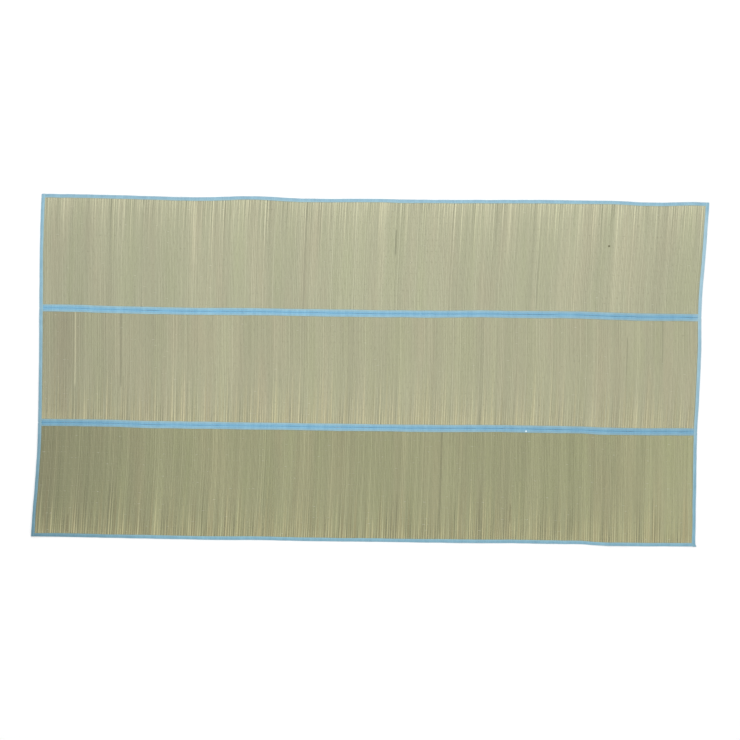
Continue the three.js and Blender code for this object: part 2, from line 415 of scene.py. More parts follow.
def weaving_threads(panel, index):
    """All the threads of one panel, one rod for each row."""
    _, middles, widths = panel_straws[panel]
    pairs = len(middles) // 2
    starts = middles[0:2 * pairs:2] - widths[0:2 * pairs:2] / 2 + THREAD_SHOULDER
    ends = middles[1:2 * pairs:2] + widths[1:2 * pairs:2] / 2 - THREAD_SHOULDER
    ring_along = np.stack([starts, ends], axis=1).ravel()
    form = rod_form(THREAD_SIDES, len(ring_along) - 2)
    points = form[0]
    ring = np.rint((points[:, 2] + 0.5) * (len(ring_along) - 1)).astype(int)
    rows = np.arange(THREAD_ROWS)
    over = (ring[None, :] // 2 + rows[:, None]) % 2 == 0
    height = np.where(over, THREAD_TOP, THREAD_UNDER) + THREAD_RADIUS * points[:, 1]
    wander = rng.normal(0, THREAD_WANDER, (THREAD_ROWS, len(ring_along)))[:, ring]
    across = index * PANEL_WIDTH + thread_places[:, None] + wander + THREAD_RADIUS * points[:, 0]
    along = np.broadcast_to(ring_along[ring], across.shape)
    laid = lie_out(along.ravel(), across.ravel(), height.ravel()).reshape(THREAD_ROWS, -1, 3)
    attributes = {"run": along, "row": rows[:, None] + PANEL_ROW_NUMBERS * index}
    return joined_mesh(f"threads_{panel}", form, laid, attributes)


panel_threads = {panel: weaving_threads(panel, index) for index, panel in enumerate(PANELS)}

# %% [markdown]
# ## The binding tape
# The tape is a thin woven strip about 23 mm wide, folded in half over an edge and sewn through. A bar
# along the edge would show no lip and no fold, so the tape starts as a flat grid, as the strip does
# on its reel. Its short way is bent into a fold with two legs, its long way follows the edge, and a
# Solidify modifier gives it its thickness.

# %% The fold of the tape
TAPE_TOP = 3.3 * MM
TAPE_LIP = 9.6 * MM
FOLD_RADIUS = TAPE_TOP / 2
FOLD_POINTS = 7
# Where the middle of a leg lies, as a share of the way from the fold to the lip.
LEG_MIDDLE = 0.45
LOWER_LIP = 0.2 * MM
LIP_DROP = 0.3 * MM
STITCH_FROM_LIP = 2.2 * MM
STITCH_GROOVE = 0.12 * MM
LOWER_STITCH = 0.12 * MM
GROOVE_REACH = 0.8 * MM
GROOVE_SHOULDERS = (0.05 * MM, 0.08 * MM)


def fold_path(lip, groove):
    """The tape's outer face, from lower lip to upper lip, in rows of a distance in and a height."""
    stitch = lip - STITCH_FROM_LIP
    angles = np.linspace(-math.pi / 2, math.pi / 2, FOLD_POINTS)
    arc_in = FOLD_RADIUS * (1 - np.cos(angles))
    arc_up = FOLD_RADIUS * (1 + np.sin(angles))
    lower = [(lip, LOWER_LIP), (stitch, LOWER_STITCH + groove), (lip * LEG_MIDDLE, 0.0)]
    upper = [
        (lip * LEG_MIDDLE, TAPE_TOP),
        (stitch - GROOVE_REACH, TAPE_TOP - GROOVE_SHOULDERS[0]),
        (stitch, TAPE_TOP - groove),
        (stitch + GROOVE_REACH, TAPE_TOP - GROOVE_SHOULDERS[1]),
        (lip, TAPE_TOP - LIP_DROP),
    ]
    return np.array(lower + list(zip(arc_in, arc_up)) + upper)


PATH_POINTS = len(fold_path(TAPE_LIP, STITCH_GROOVE))
print("points across the tape:", PATH_POINTS)

# %% A length of tape
TAPE_THICKNESS = 0.35 * MM
# For each wandering line, how far apart its random values lie and how large they are.
LIP_WANDER = (70 * MM, 0.3 * MM)
PUFFS = (18 * MM, 0.07 * MM)
EDGE_WANDER = (24 * MM, 0.15 * MM)


def tape(name, run_length, station_length, place, squeeze, at_seam):
    """A folded tape. place turns runs along the edge, distances in and heights into places."""
    stations = int(run_length / station_length) + 1
    form = bmesh.new()
    bmesh.ops.create_grid(form, x_segments=stations - 1, y_segments=PATH_POINTS - 1, size=0.5)
    points, corners, sizes = read_form(form)
    station = np.rint((points[:, 0] + 0.5) * (stations - 1)).astype(int)
    step = np.rint((points[:, 1] + 0.5) * (PATH_POINTS - 1)).astype(int)
    runs = np.linspace(0, run_length, stations)
    lips = TAPE_LIP + wandering(run_length, *LIP_WANDER)(runs)
    puffs = wandering(run_length, *PUFFS)(runs)
    paths = np.array([fold_path(lip, STITCH_GROOVE) for lip in lips])
    inwards = paths[station, step, 0]
    height = paths[station, step, 1]
    height = np.where(height > FOLD_RADIUS, height + puffs[station], height)
    run = runs[station]
    inwards, height = squeeze(run, inwards, height)
    inwards = inwards + wandering(run_length, *EDGE_WANDER)(runs)[station]
    laid = place(run, inwards, height).reshape(1, -1, 3)
    attributes = {"run": run, "inwards": inwards, "seam": float(at_seam)}
    piece = joined_mesh(name, (points, corners, sizes), laid, attributes)
    thickness = piece.modifiers.new("thickness of the tape", "SOLIDIFY")
    thickness.thickness = TAPE_THICKNESS
    thickness.offset = -1
    return piece


print("the tape is", round(TAPE_THICKNESS / MM, 2), "mm thick")

# %% [markdown]
# ### Long tapes and end tapes
# The long tapes are sewn on first and reach under the end tapes, so the last few mm of each are
# pressed flatter. The end tapes then cover all three panels. Each has a crease where it crosses a
# fold line, because it is folded there whenever the mat is put away.

# %% Press and crease
UNDER_END_TAPE = 4 * MM
PRESSED_TOP = 2.75 * MM
PRESSED_BOTTOM = 0.45 * MM
PRESS_FADE = 8 * MM
CREASE_DEPTH = 1.6 * MM
CREASE_WIDTH = 5 * MM
CREASE_PULL = 0.7 * MM
CREASE_REACH = 4 * MM
# How much of the crease's depth is left at the lip.
CREASE_AT_LIP = 0.4


def press_ends(run, inwards, height):
    """Flattens a long tape where the end tapes hold it."""
    run_length = LENGTH - 2 * UNDER_END_TAPE
    from_end = np.minimum(run, run_length - run)
    free = np.clip((from_end - (TAPE_SHOWING - UNDER_END_TAPE)) / PRESS_FADE, 0, 1)
    share = height / TAPE_TOP
    pressed = PRESSED_BOTTOM + (PRESSED_TOP - PRESSED_BOTTOM) * share
    return inwards, pressed + (height - pressed) * free


def crease(run, inwards, height):
    """Folds an end tape in a little where it crosses the two fold lines."""
    depth = np.zeros(len(run))
    for line in FOLD_LINES:
        depth = np.maximum(depth, np.clip(1 - np.abs(run - line) / CREASE_WIDTH * 2, 0, 1))
    share = np.clip(height / TAPE_TOP, 0, 1)
    near_fold = np.clip(1 - inwards / CREASE_REACH, 0, 1)
    drop = CREASE_DEPTH * depth * share * (CREASE_AT_LIP + (1 - CREASE_AT_LIP) * near_fold)
    return inwards + CREASE_PULL * depth * near_fold, height - drop


print("a crease is", round(CREASE_DEPTH / MM, 1), "mm deep")

# %% Sew the tapes on
TAPE_STATION = 4 * MM
END_TAPE_STATION = 2 * MM
FOLD_GAP = 0.15 * MM


def long_tape(panel, index, front):
    """The tape over the front or back edge of a panel."""
    edge = index * PANEL_WIDTH if front else (index + 1) * PANEL_WIDTH
    outer = edge in (0, WIDTH)
    side = 1 if front else -1
    fold = edge + (0 if outer else side * FOLD_GAP)

    def place(run, inwards, height):
        return lie_out(UNDER_END_TAPE + run, fold + side * inwards, height)

    where = "front" if front else "back"
    run_length = LENGTH - 2 * UNDER_END_TAPE
    return tape(f"binding_{panel}_{where}", run_length, TAPE_STATION, place, press_ends, not outer)


def end_tape(right):
    """The tape over the left or right end of the mat."""
    def place(run, inwards, height):
        along = LENGTH - inwards if right else inwards
        return lie_out(along, run, height)

    name = "binding_right_end" if right else "binding_left_end"
    return tape(name, WIDTH, END_TAPE_STATION, place, crease, False)


bindings = {}
for index, panel in enumerate(PANELS):
    bindings[f"tape_{panel}_front"] = long_tape(panel, index, True)
    bindings[f"tape_{panel}_back"] = long_tape(panel, index, False)
bindings["tape_left_end"] = end_tape(False)
bindings["tape_right_end"] = end_tape(True)

# %% [markdown]
# ### Faces that point outwards
# A grid bent over a front edge is the mirror image of one bent over a back edge, so some tapes come
# out inside in. The topmost face of a tape has to look up. Where it doesn't, its faces are turned.


# %% Turn faces outwards
def turn_outwards(piece):
    """Turns the faces of a tape where they look inwards, and says whether it did."""
    shape = bmesh.new()
    shape.from_mesh(piece.data)
    top = max(shape.faces, key=lambda face: face.calc_center_median().z)
    inside_in = top.normal.z < 0
    if inside_in:
        bmesh.ops.reverse_faces(shape, faces=shape.faces)
        shape.to_mesh(piece.data)
    shape.free()
    return inside_in


print("tapes turned:", sum([turn_outwards(piece) for piece in bindings.values()]), "of", len(bindings))

# %% [markdown]
# ## Stitches
# One row of lockstitch runs along each tape, 2 mm from its lip, above and below. Bumps in a material
# would look flat from the side, so each stitch is a small arched rod whose ends dive into the tape.
# Slanting stitches over each fold line join the neighbouring panels.

# %% One stitch, many times
STITCH_SIDES = 3
STITCH_RADIUS = 0.2 * MM
STITCH_ARCH = 0.3 * MM
STITCH_DIVE = 0.12 * MM
stitch_form = rod_form(STITCH_SIDES, 1)


def stitches(name, places):
    """One small rod for each place: its start and end in the straight drawing, and the way up."""
    points = stitch_form[0]
    share = points[:, 2] + 0.5
    arch = 1 - (2 * share - 1) ** 2
    starts, ends = places[:, None, 0:3], places[:, None, 3:6]
    line = starts + (ends - starts) * share[None, :, None]
    heading = ends - starts
    heading = heading / np.linalg.norm(heading, axis=2, keepdims=True)
    sideways = np.concatenate([-heading[..., 1:2], heading[..., 0:1], heading[..., 2:3] * 0], axis=2)
    up = np.sign(places[:, None, 6])
    line = line + sideways * (STITCH_RADIUS * points[:, 0])[None, :, None]
    height = line[..., 2] + up * (STITCH_ARCH * arch - STITCH_DIVE) + STITCH_RADIUS * points[:, 1]
    laid = lie_out(line[..., 0].ravel(), line[..., 1].ravel(), height.ravel())
    return joined_mesh(name, stitch_form, laid.reshape(len(places), -1, 3), {})


print("triangles in a stitch:", triangles_of(stitch_form))

# %% Rows of stitches
STITCH_PITCH = 4 * MM
STITCH_LENGTH = 3.3 * MM
STITCH_WOBBLE = 0.12 * MM
STITCH_INSET = TAPE_LIP - STITCH_FROM_LIP
# The height of a row and its way up, above the mat and below it.
STITCH_FACES = ((TAPE_TOP - STITCH_GROOVE, 1), (0.4 * MM, -1))


def row(start, end, height, up):
    """The places of a straight row of stitches, from one point to another."""
    start, end = np.array(start), np.array(end)
    count = int(np.linalg.norm(end - start) / STITCH_PITCH)
    first = start + (end - start) * np.arange(count)[:, None] / count
    last = first + (end - start) / np.linalg.norm(end - start) * STITCH_LENGTH
    heights = np.full((count, 1), height)
    sideways = [1, 0] if start[0] == end[0] else [0, 1]
    wobble = rng.normal(0, STITCH_WOBBLE, (count, 1)) * np.array(sideways)
    return np.hstack([first + wobble, heights, last + wobble, heights, np.full((count, 1), up)])


def on_long_tape(places):
    """Lowers stitches to the long tapes where the end tapes press those flatter."""
    for along, height in ((0, 2), (3, 5)):
        _, places[:, height] = press_ends(places[:, along] - UNDER_END_TAPE, 0, places[:, height])
    return places


def on_end_tape(places):
    """Lowers stitches into the creases of the end tapes."""
    for across, height in ((1, 2), (4, 5)):
        _, places[:, height] = crease(places[:, across], STITCH_INSET, places[:, height])
    return places


print("the rows lie", round(STITCH_INSET / MM, 1), "mm from the fold of the tape")

# %% Sew the rows
END_ROW_START = 1 * MM


def above_and_below(lines):
    """Rows of stitches above and below the mat, along lines with a start and an end."""
    return np.vstack([row(start, end, height, up) for start, end in lines for height, up in STITCH_FACES])


def panel_stitches(panel, index):
    """The rows along the two long tapes of a panel."""
    sides = (index * PANEL_WIDTH + STITCH_INSET, (index + 1) * PANEL_WIDTH - STITCH_INSET)
    lines = [((TAPE_CLEAR, across), (LENGTH - TAPE_CLEAR, across)) for across in sides]
    return stitches(f"stitches_{panel}", on_long_tape(above_and_below(lines)))


def end_stitches():
    """The rows along the two end tapes."""
    ends = (STITCH_INSET, LENGTH - STITCH_INSET)
    lines = [((along, END_ROW_START), (along, WIDTH - END_ROW_START)) for along in ends]
    return stitches("stitches_ends", on_end_tape(above_and_below(lines)))


stitching = {panel: panel_stitches(panel, index) for index, panel in enumerate(PANELS)}
stitching["ends"] = end_stitches()

# %% Join the panels
JOIN_START = TAPE_CLEAR + 4 * MM
JOIN_PITCH = 6 * MM
JOIN_WANDER = 0.3 * MM
JOIN_REACH = 1.7 * MM
JOIN_SLANT = 1.6 * MM
JOIN_HEIGHT = TAPE_TOP - 0.1 * MM


def fold_stitches():
    """Slanting stitches that hold two neighbouring tapes together over each fold line."""
    places = []
    along = np.arange(JOIN_START, LENGTH - JOIN_START, JOIN_PITCH)
    along = along + rng.normal(0, JOIN_WANDER, len(along))
    level = np.full(len(along), JOIN_HEIGHT)
    up = np.ones(len(along))
    for line in FOLD_LINES:
        near = np.full(len(along), line - JOIN_REACH)
        far = np.full(len(along), line + JOIN_REACH)
        places.append(np.stack([along, near, level, along + JOIN_SLANT, far, level, up], axis=1))
    return stitches("stitches_folds", on_long_tape(np.vstack(places)))


stitching["folds"] = fold_stitches()

# %% [markdown]
# ## Materials
# An image of the real finish would blur from close by, so nodes work the finish out at every point.
# One function adds a node with its settings and its links, so a material reads as a list of what it
# is made of. Colours are written as sRGB hex, as a paint chart gives them, and turned into the linear
# values that the renderer works with.


# %% Colours
def linear(hex_colour):
    """An sRGB hex colour in linear values, by the standard sRGB curve."""
    channels = [int(hex_colour[i:i + 2], 16) / 255 for i in (1, 3, 5)]
    return tuple(c / 12.92 if c <= 0.04045 else ((c + 0.055) / 1.055) ** 2.4 for c in channels) + (1,)


def shade(hex_colour, factor):
    """The linear colour, darker or paler by a factor."""
    return tuple(channel * factor for channel in linear(hex_colour)[:3]) + (1,)


print("the mid grey #808080 is", round(linear("#808080")[0], 3), "in linear values")


# %% Nodes
def plug(tree, node, links):
    """Sets inputs of a node: each to a value, or to the output of another node."""
    for socket, value in links.items():
        if isinstance(value, bpy.types.NodeSocket):
            tree.links.new(value, node.inputs[socket])
        else:
            node.inputs[socket].default_value = value


def add(tree, kind, settings={}, links={}, out=0):
    """Adds a node with its settings and links, and gives one of its outputs. stops are a ramp's colours."""
    node = tree.nodes.new("ShaderNode" + kind)
    for name, value in settings.items():
        if name != "stops":
            setattr(node, name, value)
            continue
        elements = node.color_ramp.elements
        while len(elements) < len(value):
            elements.new(0.5)
        for element, (position, colour) in zip(elements, value):
            element.position, element.color = position, colour
    plug(tree, node, links)
    return node.outputs[out]


def new_material(name):
    """A material with its node tree and its shader."""
    material = bpy.data.materials.new(name)
    material.use_nodes = True
    tree = material.node_tree
    print("material:", name)
    return material, tree, tree.nodes["Principled BSDF"]


# %% [markdown]
# ### Layers of tone
# A natural finish is never one tone. Here a tone is a number, 0.5 in the middle, and each layer of
# noise raises or lowers it by up to half its strength. A ramp then turns it into a colour. Colours
# could be mixed layer by layer, but numbers are easier to balance.

# %% Tone helpers
MULTIPLY = {"operation": "MULTIPLY"}
MULTIPLY_ADD = {"operation": "MULTIPLY_ADD"}
ADD = {"operation": "ADD"}
MIX = {"data_type": "RGBA", "blend_type": "MIX"}
TINT = {"data_type": "RGBA", "blend_type": "MULTIPLY"}
SOFT = {"interpolation_type": "SMOOTHSTEP"}
ONE_NUMBER = {"noise_dimensions": "1D"}
# The sockets of a Mix node that mixes colours.
SHARE, UNDER, OVER, MIXED = 0, 6, 7, 2
# A spot fades out between these shares of its radius.
SPOT_GONE, SPOT_FULL = 1.4, 0.6


def layered(tree, middle, layers):
    """A middle tone with layers of noise. Each layer is a noise from 0 to 1 and its strength."""
    tone = middle - sum(strength for _, strength in layers) / 2
    for noise, strength in layers:
        tone = add(tree, "Math", MULTIPLY_ADD, {0: noise, 1: strength, 2: tone})
    return tone


def grain(tree, place, across_size, along_size, detail, start=(0, 0, 0)):
    """A grain whose marks have a width and a length in metres, over a surface of the mat."""
    size = (1 / across_size, 1 / along_size, 1)
    scaled = add(tree, "Mapping", {}, {"Vector": place, "Location": start, "Scale": size})
    return add(tree, "TexNoise", {}, {"Vector": scaled, "Scale": 1.0, "Detail": detail})


def spotted(tree, place, colour, spot, radius, spot_colour):
    """The colour with one soft round spot on it."""
    away = add(tree, "VectorMath", {"operation": "DISTANCE"}, {0: place, 1: tuple(spot)}, out="Value")
    cover = add(tree, "MapRange", SOFT, {
        "Value": away, "From Min": SPOT_GONE * radius, "From Max": SPOT_FULL * radius,
    })
    return add(tree, "Mix", MIX, {SHARE: cover, UNDER: colour, OVER: linear(spot_colour)}, out=MIXED)


# A bruise on a straw of the far panel, and a nick in a tape by the near fold.
DARK_SPOT = laid_point(1538 * MM, 808 * MM, 2 * MM)
DARK_SPOT_RADIUS = 2.6 * MM
PALE_NICK = laid_point(1333 * MM, 304 * MM, TAPE_TOP)
PALE_NICK_RADIUS = 2.2 * MM
print("dark spot at", DARK_SPOT.round(4), "and pale nick at", PALE_NICK.round(4))

# %% [markdown]
# ### Dried rush straw
# Rush is cut green, dried in the sun and flattened a little. It keeps a grey green skin with a dull
# waxy sheen, and its butt end, which grew in the shade of the clump, is pale and yellow. One noise
# over the whole panel would run on from straw to straw, but no two straws are alike. So a random
# number for each straw sets its colour, and a noise of its own changes it along the way.

# %% The butt of a straw
# The pale butt fades out this far from its end.
SHORT_BUTT = 30 * MM
LONG_BUTT = 190 * MM


def butt_of(tree, straw, run):
    """1 at the butt end of a straw, and 0 where its pale butt has faded out."""
    # A random number other than the one that sets the straw's colour.
    other = add(tree, "Math", MULTIPLY_ADD, {0: straw, 1: 3.7, 2: 0.4})
    own_butt = add(tree, "TexWhiteNoise", ONE_NUMBER, {"W": other})
    length = add(tree, "MapRange", {}, {"Value": own_butt, "To Min": SHORT_BUTT, "To Max": LONG_BUTT})
    share = add(tree, "Math", {"operation": "DIVIDE"}, {0: run, 1: length})
    return add(tree, "Math", {"operation": "SUBTRACT", "use_clamp": True}, {0: 1.0, 1: share})


print("butts are", round(SHORT_BUTT / MM), "to", round(LONG_BUTT / MM), "mm long")

# %% Streaks
# Straws came in bundles of two or three from one plant.
BUNDLES_PER_STRAW = 0.41
# Patches of tone are narrower than a straw, so that each straw has its own, but long.
PATCH_WIDTH = 0.44 * MM
PATCH_LENGTH = 180 * MM


def streak_tone(tree, tone, straw, own, lane_place, butt, streaked, butt_streaks):
    """The tone, made darker or paler straw by straw, and more so at the butts."""
    # Cubed, so that most straws are close to the middle colour and a few stand out.
    centred = add(tree, "Math", MULTIPLY_ADD, {0: own, 1: 2.0, 2: -1.0})
    squared = add(tree, "Math", MULTIPLY, {0: centred, 1: centred})
    standing_out = add(tree, "Math", MULTIPLY, {0: squared, 1: centred})
    share = add(tree, "Math", MULTIPLY, {0: straw, 1: BUNDLES_PER_STRAW})
    bundle = add(tree, "Math", {"operation": "FLOOR"}, {0: share})
    own_bundle = add(tree, "TexWhiteNoise", ONE_NUMBER, {"W": bundle})
    patch = grain(tree, lane_place, PATCH_WIDTH, PATCH_LENGTH, 2.0)
    streaks = layered(tree, 0.0, [(own_bundle, 0.07 * streaked), (patch, 0.22 * streaked)])
    streaks = add(tree, "Math", MULTIPLY_ADD, {0: standing_out, 1: 0.09 * streaked, 2: streaks})
    # Neighbouring straws lie by turns with a thick butt or a thin tip at this edge, one pale, one dark.
    odd = add(tree, "Math", {"operation": "MODULO"}, {0: straw, 1: 2.0})
    by_turns = layered(tree, 0.0, [(odd, 0.22 * streaked)])
    butt_only = add(tree, "Math", MULTIPLY, {0: by_turns, 1: butt})
    streaks = add(tree, "Math", ADD, {0: streaks, 1: butt_only})
    stronger = add(tree, "Math", MULTIPLY_ADD, {0: butt, 1: butt_streaks, 2: 1.0})
    return add(tree, "Math", MULTIPLY_ADD, {0: streaks, 1: stronger, 2: tone})


print("a patch of tone is", round(PATCH_LENGTH / MM), "mm long")


# %% Straw material
def straw_material(panel, colour, butt_colour, streaked, butt_streaks, left_end_light_falloff, right_end_light_falloff):
    """Dried rush straw in the tones of one panel."""
    material, tree, shader = new_material(f"dried rush straw, woven, {panel} panel")
    straw, run, mark = [
        add(tree, "Attribute", {"attribute_name": name}, out="Fac") for name in ("straw", "run", "mark")
    ]
    place = add(tree, "TexCoord", out="Object")
    along = add(tree, "SeparateXYZ", {}, {"Vector": place}, out="X")
    own = add(tree, "TexWhiteNoise", ONE_NUMBER, {"W": straw})
    butt = butt_of(tree, straw, run)

    # A lane place is the same over a straw's whole width, so a tone fills it from side to side.
    lane = add(tree, "Math", MULTIPLY, {0: straw, 1: STRAW_WIDTH})
    lane_place = add(tree, "CombineXYZ", {}, {"X": lane, "Y": run})
    bunch = grain(tree, lane_place, 60 * MM, 700 * MM, 2.0)
    hue = grain(tree, lane_place, 45 * MM, 400 * MM, 3.0, start=(3, 7, 0))
    fibre = grain(tree, place, 0.4 * MM, 25 * MM, 3.0)
    specks = grain(tree, place, 0.9 * MM, 5 * MM, 1.0, start=(5, 2, 0))
    fleck = add(tree, "MapRange", {}, {"Value": specks, "From Min": 0.70, "From Max": 0.78, "To Max": -0.35})

    tone = layered(tree, 0.5, [(fibre, 0.6), (bunch, 0.40)])
    tone = streak_tone(tree, tone, straw, own, lane_place, butt, streaked, butt_streaks)
    # Painted shade darkens each panel towards its left end, and painted light changes it towards its right
    # end by the amount in its row.
    left, right = [
        add(tree, "MapRange", SOFT, {"Value": along, "From Min": start, "From Max": end, "To Max": most})
        for start, end, most in ((-0.42, -0.95, left_end_light_falloff), (0.62, 0.88, right_end_light_falloff))
    ]
    for part in (left, right, mark, fleck):
        tone = add(tree, "Math", ADD, {0: tone, 1: part})
    base = add(tree, "ValToRGB", {"stops": [
        (0.0, shade(colour, 0.66)), (0.5, linear(colour)), (1.0, shade(colour, 1.38)),
    ]}, {0: tone})

    tint = add(tree, "ValToRGB", {"stops": [
        (0.3, linear("#f4f5e9")), (0.5, linear("#f5f4ec")), (0.7, linear("#f8f3ec")),
    ]}, {0: hue})
    tinted = add(tree, "Mix", TINT, {SHARE: 1.0, UNDER: base, OVER: tint}, out=MIXED)
    own_yellow = add(tree, "Math", MULTIPLY, {0: own, 1: 0.35})
    yellow = add(tree, "Math", MULTIPLY, {0: butt, 1: own_yellow})
    pale_butts = add(tree, "Mix", MIX, {SHARE: yellow, UNDER: tinted, OVER: linear(butt_colour)}, out=MIXED)
    plug(tree, shader, {
        "Base Color": spotted(tree, place, pale_butts, DARK_SPOT, DARK_SPOT_RADIUS, "#5d5c40"),
        "Roughness": add(tree, "MapRange", {}, {"Value": fibre, "To Min": 0.5, "To Max": 0.72}),
        "Specular IOR Level": 0.35,
        "Normal": add(tree, "Bump", {}, {"Strength": 0.6, "Distance": 0.12 * MM, "Height": fibre}),
    })
    return material


# For each panel: its colour, the colour of its butts, how streaked it is, how much more so at the
# butts, and how much painted shade and light make its left and right ends darker or paler.
STRAW_COLOURS = {
    "near": ("#a1a283", "#b4a275", 1.2, 3.7, -0.34, 0.19),
    "middle": ("#b0b097", "#bcad7e", 0.68, 3.6, -0.22, 0.02),
    "far": ("#b4b59d", "#dad5b4", 0.80, 2.6, -0.13, -0.05),
}
straw_materials = {panel: straw_material(panel, *colours) for panel, colours in STRAW_COLOURS.items()}

# %% [markdown]
# ### Threads
# The weaving thread is thin twisted cotton, nearly the colour of the straw, and bleached in places.
# The sewing thread is spun polyester in the blue of the tape. The twist of both is too fine to show,
# so only their colour varies along the way.


# %% Thread and stitch materials
def thread_material():
    """Cotton, bleached in places. Sheen gives it the soft edge of loose fibres."""
    material, tree, shader = new_material("cotton warp thread, twisted")
    run, row_number = [
        add(tree, "Attribute", {"attribute_name": name}, out="Fac") for name in ("run", "row")
    ]
    thread_place = add(tree, "CombineXYZ", {}, {"X": run, "Y": row_number})
    bleach = grain(tree, thread_place, 30 * MM, 1.0, 2.0)
    colour = add(tree, "ValToRGB", {"stops": [
        (0.3, linear("#6a684e")),
        (0.42, linear("#a5a383")),
        (0.58, linear("#b0ae90")),
        (0.66, linear("#f3f1e4")),
    ]}, {0: bleach})
    plug(tree, shader, {"Base Color": colour, "Roughness": 0.85, "Sheen Weight": 0.3})
    return material


def stitch_material():
    """Spun polyester, a little glossier than cotton, mottled by its fuzz."""
    material, tree, shader = new_material("polyester sewing thread, spun")
    place = add(tree, "TexCoord", out="Object")
    fuzz = grain(tree, place, 1.1 * MM, 1.1 * MM, 2.0)
    blues = [(0.35, linear("#8ebdd8")), (0.65, linear("#b4d6e8"))]
    colour = add(tree, "ValToRGB", {"stops": blues}, {0: fuzz})
    plug(tree, shader, {"Base Color": colour, "Roughness": 0.6, "Sheen Weight": 0.2})
    return material


thread_finish = thread_material()

# %% [markdown]
# ### Tape
# The tape is woven from flat polypropylene yarns, which gives it fine ribs and a slight gloss. It is
# a little sheer, so the straws under it show as faint streaks, and it is darker and bluer along a
# fold line, where two tapes meet and little of the light that falls in comes out again. Sun reaches
# some edges more than others, painted shade darkens the tape towards the near edge and at the left
# end, and it is darker along the right of the seams, so wear and shade go by a point's place on the
# mat, in metres.

# %% Tape weave
# A Wave texture of scale 1 repeats after 0.314 m.
WAVE = 0.314
RIB_WIDTH = 1.2 * MM
YARN_WIDTH = 0.8 * MM


def tape_weave(tree, weave_place):
    """Flat yarns across the tape, with finer ones along it."""
    ribs, yarns = [
        add(tree, "TexWave", {"wave_type": "BANDS", "bands_direction": way}, {
            "Vector": weave_place, "Scale": WAVE / width, "Distortion": 0.4,
        })
        for way, width in (("X", RIB_WIDTH), ("Y", YARN_WIDTH))
    ]
    return add(tree, "Math", MULTIPLY, {0: ribs, 1: yarns})


print("ribs are", round(RIB_WIDTH / MM, 1), "mm wide")


# %% Tape blues
# Dark and pale, in the open and along a fold line.
OPEN_BLUES = ("#769fb3", "#8cb6c8")
FOLD_BLUES = ("#66a2c3", "#80b7d2")


def tape_blue(tree, tone, inwards, seam):
    """The blue of the tape from its fold to its lip, with painted shade and painted light along a fold line.
    seam is 1 where two tapes meet at a fold line.
    """
    open_colour, fold_colour = [
        add(tree, "ValToRGB", {"stops": [(0.2, linear(dark)), (0.8, linear(pale))]}, {0: tone})
        for dark, pale in (OPEN_BLUES, FOLD_BLUES)
    ]
    # Painted shade: where two tapes meet at a fold line, the tape is darker and bluer towards its fold.
    from_fold = add(tree, "MapRange", SOFT, {"Value": inwards, "From Min": 6.5 * MM, "From Max": 2 * MM})
    by_seam = add(tree, "Math", MULTIPLY, {0: from_fold, 1: seam})
    colour = add(tree, "Mix", MIX, {SHARE: by_seam, UNDER: open_colour, OVER: fold_colour}, out=MIXED)
    # Painted light: at a fold line the bend itself is paler, lightening the shaded groove between two folds.
    bend_light_from_fold = add(tree, "MapRange", {}, {
        "Value": inwards, "From Min": 1.8 * MM, "From Max": 0.3 * MM, "To Max": 0.5,
    })
    painted_bend_light = add(tree, "Math", MULTIPLY, {0: bend_light_from_fold, 1: seam})
    colour = add(tree, "Mix", MIX, {SHARE: painted_bend_light, UNDER: colour, OVER: linear("#9ad1ec")}, out=MIXED)
    # Towards its lip the tape lies on pale straw, which shows through it.
    to_lip = add(tree, "MapRange", SOFT, {
        "Value": inwards, "From Min": 5.5 * MM, "From Max": 9.5 * MM, "To Max": 0.55,
    })
    return add(tree, "Mix", MIX, {SHARE: to_lip, UNDER: colour, OVER: linear("#a1c3c4")}, out=MIXED)


print("blues in the open:", OPEN_BLUES, "and along a fold line:", FOLD_BLUES)

# %% Tape wear and painted shade
# Each kind of wear and painted shade grows from one place to another, along or across the mat, up to its
# most.
WEAR_AND_SHADE = {
    "near edge shade": ("across", {}, 0.2, -0.3, 0.06),
    "right": ("along", {}, -0.2, 0.7, 0.12),
    "left": ("along", SOFT, -0.5, -0.92, 1.0),
    "near left shade": ("across", {}, 0.1, -0.47, 0.44),
    "kept": ("across", {}, -0.2, -0.45, 0.12),
    "right end": ("along", {}, 0.865, 0.885, 1.0),
    "sun": ("across", {}, -0.25, 0.25, 0.17),
    "off corner": ("across", {}, 0.455, 0.41, 1.0),
}


def tape_wear_and_shade(tree, colour, position, seam):
    """The colour of the tape, with painted shade, darker along the right of the seams, and bleached by use.
    """
    wear_and_shade_ramps = {}
    for name, (way, settings, start, end, most) in WEAR_AND_SHADE.items():
        wear_and_shade_ramps[name] = add(tree, "MapRange", settings, {
            "Value": position[way], "From Min": start, "From Max": end, "To Max": most,
        })
    # Painted shade darkens it a little towards the near edge, and it is darker along the right of the seams.
    near_shade_and_seam_dark = add(tree, "Math", MULTIPLY_ADD, {0: wear_and_shade_ramps["right"], 1: seam, 2: wear_and_shade_ramps["near edge shade"]})
    # Painted shade darkens the left end near the near edge, and the near edge has kept the most of its blue.
    dark = add(tree, "Math", MULTIPLY, {0: wear_and_shade_ramps["left"], 1: wear_and_shade_ramps["near left shade"]})
    for share, tint in ((near_shade_and_seam_dark, "#0a1c20"), (dark, "#006b70"), (wear_and_shade_ramps["kept"], "#00e2f2")):
        colour = add(tree, "Mix", TINT, {SHARE: share, UNDER: colour, OVER: linear(tint)}, out=MIXED)
    # The far half of the right end has bleached, but not its corner, where tape lies on tape.
    bleached = add(tree, "Math", MULTIPLY, {0: wear_and_shade_ramps["right end"], 1: wear_and_shade_ramps["sun"]})
    bleached = add(tree, "Math", MULTIPLY, {0: bleached, 1: wear_and_shade_ramps["off corner"]})
    return add(tree, "Mix", MIX, {SHARE: bleached, UNDER: colour, OVER: linear("#d5e9ef")}, out=MIXED)


print("kinds of wear:", ", ".join(WEAR_AND_SHADE))


